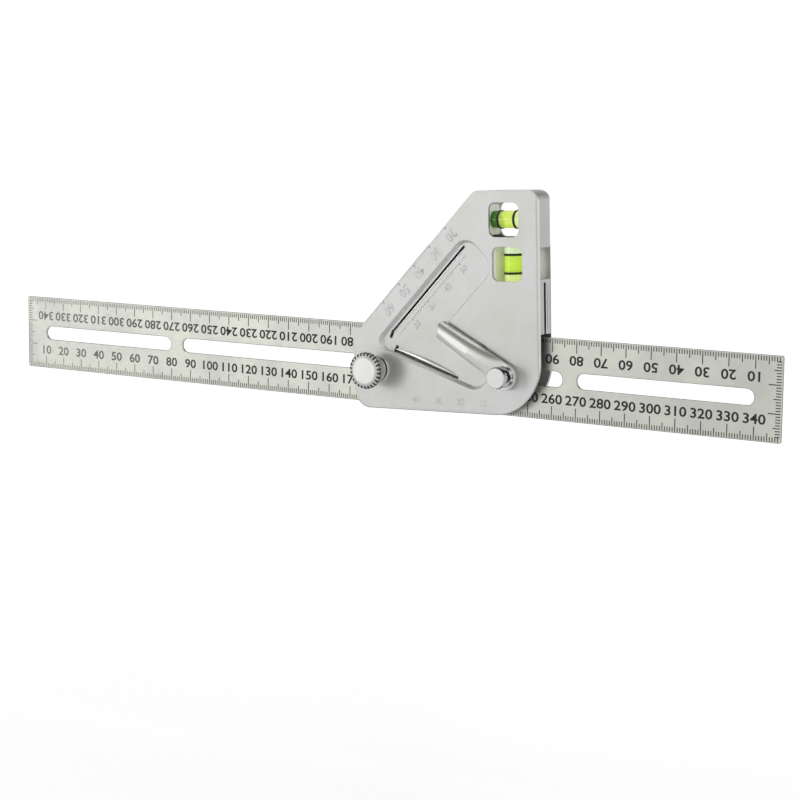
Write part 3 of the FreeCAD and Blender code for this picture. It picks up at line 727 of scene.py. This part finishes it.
def draw_knurl():
    """Painted shade in the knurl of the knob's head: short dark dashes all round, on the sloping rim."""
    low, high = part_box("thumb_knob")
    middle = (low + high) / 2
    head = (high.z - low.z) / 2
    bm = bmesh.new()
    for index in range(KNURL_COUNT):
        angle = 2 * math.pi * (index + 0.5) / KNURL_COUNT
        out = Vector((math.cos(angle), 0, math.sin(angle)))
        side = Vector((-out.z, 0, out.x)) * (KNURL_HALF_WIDTH * MM)
        outer = []
        inner = []
        for back, reach in KNURL_PROFILE:
            centre = Vector((middle.x, low.y + back * MM, middle.z)) + out * (head - reach * MM)
            deep = centre - out * (KNURL_DEPTH * MM)
            outer.append([bm.verts.new(centre - side), bm.verts.new(centre + side)])
            inner.append([bm.verts.new(deep - side), bm.verts.new(deep + side)])
        for strip, flip in ((outer, False), (inner, True)):
            for first, second in zip(strip, strip[1:]):
                corners = (first[0], first[1], second[1], second[0])
                bm.faces.new(corners[::-1] if flip else corners)
        for place in (0, 1):
            for step in range(len(KNURL_PROFILE) - 1):
                bm.faces.new((outer[step][place], outer[step + 1][place],
                              inner[step + 1][place], inner[step][place]))
        for step in (0, -1):
            bm.faces.new((outer[step][0], outer[step][1], inner[step][1], inner[step][0]))
    object_from(bm, "knob_knurl_shade", "knurl_shade", "knob")


def draw_base_scale():
    """Faint centimetre marks along the base edge, counted leftwards from under the pivot."""
    sheet = stock_sheet(STOCK_FACE)
    edge_margin = 0.4
    digit_base = 2.9
    digit_height = 2.6
    ticks = bmesh.new()
    for millimetre in range(-50, -4):
        length = tick_length(millimetre, FAINT_TICK_LENGTHS)
        add_stroke(ticks, sheet, (millimetre, edge_margin), (millimetre, length), FAINT_TICK_WIDTH)
    for number in range(10, 50, 10):
        add_text(ticks, sheet, str(number), -number, digit_base, digit_height, 0.0, FAINT_WIDEN)
    object_from(ticks, "base_scale", "faint", "stock")


# ---------------------------------------------------------------- vials

def lathe(bm, profile, place, axis, segments=48):
    """Revolve (distance, radius) points about an axis; end points with no radius close the form."""
    across = axis.orthogonal().normalized()
    other = axis.cross(across)
    rings = []
    for distance, radius in profile:
        centre = place + axis * distance
        if radius == 0:
            rings.append([bm.verts.new(centre)])
            continue
        ring = []
        for step in range(segments):
            angle = 2 * math.pi * step / segments
            out = across * math.cos(angle) + other * math.sin(angle)
            ring.append(bm.verts.new(centre + out * radius))
        rings.append(ring)
    for first, second in zip(rings, rings[1:]):
        for step in range(segments):
            after = (step + 1) % segments
            corners = [first[step % len(first)], first[after % len(first)]]
            corners += [second[after % len(second)], second[step % len(second)]]
            bm.faces.new(list(dict.fromkeys(corners)))


def build_vial(name, axis, bubble_place):
    """Clear rod and dyed column, each in its CAD node's place, and the bubble in the column."""
    low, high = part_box(f"{name}_tube")
    centre = (low + high) / 2
    half = (high - low).dot(axis) / 2
    radius = (high.y - low.y) / 2
    lip = 0.3 * MM
    bm = bmesh.new()
    lathe(bm, [(-half, 0), (-half, radius - lip), (-half + lip, radius), (half - lip, radius),
               (half, radius - lip), (half, 0)], centre, axis)
    rod = object_from(bm, f"{name}_glass", "acrylic", "stock", 40)
    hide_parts(f"{name}_tube")

    low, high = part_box(f"{name}_liquid")
    fill = (high - low).dot(axis) / 2
    core = (high.y - low.y) / 2
    bm = bmesh.new()
    lathe(bm, [(-fill, 0), (-fill, core), (fill, core), (fill, 0)], centre, axis)
    dye = name.replace("vial", "liquid")
    column = object_from(bm, f"{name}_column", dye, "stock", 40)
    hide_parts(f"{name}_liquid")

    bm = bmesh.new()
    steps = 12
    profile = []
    for step in range(steps + 1):
        angle = math.pi * step / steps
        reach = -math.cos(angle) * (BUBBLE_HALF_LENGTH * MM)
        at_end = step in (0, steps)
        profile.append((reach, 0 if at_end else math.sin(angle) ** SWELL_POWER * core * BUBBLE_GIRTH))
    lathe(bm, profile, bubble_place, axis, 32)
    object_from(bm, f"{name}_bubble", "acrylic", "stock", 60)


def build_ring(node, axis):
    """Reading ring painted on the outside of a vial's tube, a little wider than its CAD node."""
    low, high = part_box(node)
    centre = (low + high) / 2
    outer = (high.y - low.y) / 2 + RING_PROUD * MM
    inner = outer - RING_THICKNESS * MM
    half = RING_HALF_WIDTH * MM
    profile = [(-half, inner), (-half, outer), (half, outer), (half, inner), (-half, inner)]
    bm = bmesh.new()
    lathe(bm, profile, centre, axis)
    bmesh.ops.remove_doubles(bm, verts=bm.verts, dist=0.001 * MM)
    ring = object_from(bm, f"{node}_band", "ring", "stock", 40)
    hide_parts(node)


def build_vials():
    for node in frame["nodes"]:
        if "_vial_ring_" in node:
            build_ring(node, LEVEL_AXIS if node.startswith("level") else PLUMB_AXIS)
    low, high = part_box("level_vial_liquid")
    centre = (low + high) / 2
    build_vial("level_vial", LEVEL_AXIS, centre + Vector((0, 0, LEVEL_BUBBLE_RISE * MM)))
    low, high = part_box("plumb_vial_liquid")
    centre = (low + high) / 2
    build_vial("plumb_vial", PLUMB_AXIS, Vector((centre.x, centre.y, high.z - PLUMB_BUBBLE_DROP * MM)))


# ---------------------------------------------------------------- stage

def build_stage():
    """Pale floor that shows the white room to the camera and darkens only where a shadow falls."""
    half = FLOOR_HALF
    floor_level = CAD_LOW.z - FLOOR_DROP
    corners = [(-half, -half), (half, -half), (half, half), (-half, half)]
    bm = bmesh.new()
    bm.faces.new([bm.verts.new((x, y, floor_level)) for x, y in corners])
    mesh = bpy.data.meshes.new("floor")
    bm.to_mesh(mesh)
    bm.free()
    floor = bpy.data.objects.new("floor", mesh)
    bpy.context.scene.collection.objects.link(floor)
    material, _, _, shader = new_material("floor_paper")
    set_sockets(shader, Base_Color=(0.9, 0.9, 0.9, 1), Roughness=0.9)
    mesh.materials.append(material)
    floor.is_shadow_catcher = True


def build_world():
    """White studio to the camera; to everything else a room a little darker below, with dark cards."""
    world = bpy.data.worlds.new("studio")
    bpy.context.scene.world = world
    world.use_nodes = True
    nodes = world.node_tree.nodes
    links = world.node_tree.links
    background = nodes["Background"]
    coordinates = nodes.new("ShaderNodeTexCoord")
    height = components(nodes, links, "Generated")["Z"]
    colour = ramp(nodes, links, rise(nodes, links, height, -1.0, 1.0),
                  [(0.0, grey(WORLD_LEVEL_BELOW)), (0.5, grey(WORLD_LEVEL))])
    for direction, half_width, left in DARK_CARDS:
        product = nodes.new("ShaderNodeVectorMath")
        product.operation = "DOT_PRODUCT"
        links.new(coordinates.outputs["Generated"], product.inputs[0])
        product.inputs[1].default_value = Vector(direction).normalized()
        outer, inner = (math.cos(math.radians(half_width) * share) for share in CARD_EDGE)
        inside = rise(nodes, links, product.outputs["Value"], outer, inner)
        colour = blend(nodes, links, inside, colour, left)
    links.new(colour, background.inputs["Color"])
    white = nodes.new("ShaderNodeBackground")
    white.inputs["Color"].default_value = grey(1.0)
    path = nodes.new("ShaderNodeLightPath")
    mix = nodes.new("ShaderNodeMixShader")
    links.new(path.outputs["Is Camera Ray"], mix.inputs["Fac"])
    links.new(background.outputs["Background"], mix.inputs[1])
    links.new(white.outputs["Background"], mix.inputs[2])
    links.new(mix.outputs["Shader"], nodes["World Output"].inputs["Surface"])


def add_area_light(name, place, target, size, power):
    data = bpy.data.lights.new(name, "AREA")
    data.shape = "RECTANGLE"
    data.size, data.size_y = size
    data.energy = power
    lamp = bpy.data.objects.new(name, data)
    lamp.location = place
    lamp.rotation_mode = "QUATERNION"
    lamp.rotation_quaternion = (Vector(target) - Vector(place)).to_track_quat("-Z", "Y")
    bpy.context.scene.collection.objects.link(lamp)


def build_lights():
    centre = (CAD_LOW + CAD_HIGH) / 2
    for name, place, size, power in LAMPS:
        add_area_light(name, place, centre, size, power)


def build_camera():
    azimuth = math.radians(CAMERA_AZIMUTH)
    elevation = math.radians(CAMERA_ELEVATION)
    back = Vector((
        math.sin(azimuth) * math.cos(elevation),
        -math.cos(azimuth) * math.cos(elevation),
        math.sin(elevation),
    ))
    data = bpy.data.cameras.new("camera")
    data.lens = CAMERA_LENS
    data.sensor_width = CAMERA_SENSOR
    camera = bpy.data.objects.new("camera", data)
    camera.location = CAMERA_PLACE
    camera.rotation_mode = "QUATERNION"
    aim = (-back).to_track_quat("-Z", "Y")
    camera.rotation_quaternion = aim @ Quaternion((0, 0, 1), math.radians(CAMERA_ROLL))
    bpy.context.scene.collection.objects.link(camera)
    bpy.context.scene.camera = camera


bpy.context.scene.view_settings.view_transform = "Standard"
build_camera()
build_world()
build_lights()
build_stage()
dress_cad_nodes()
draw_blade_scale(-1, "blade_scale_front")
draw_blade_scale(1, "blade_scale_back")
draw_slope_scale()
draw_recess_scale()
draw_slit_lips()
draw_knurl()
draw_base_scale()
build_vials()
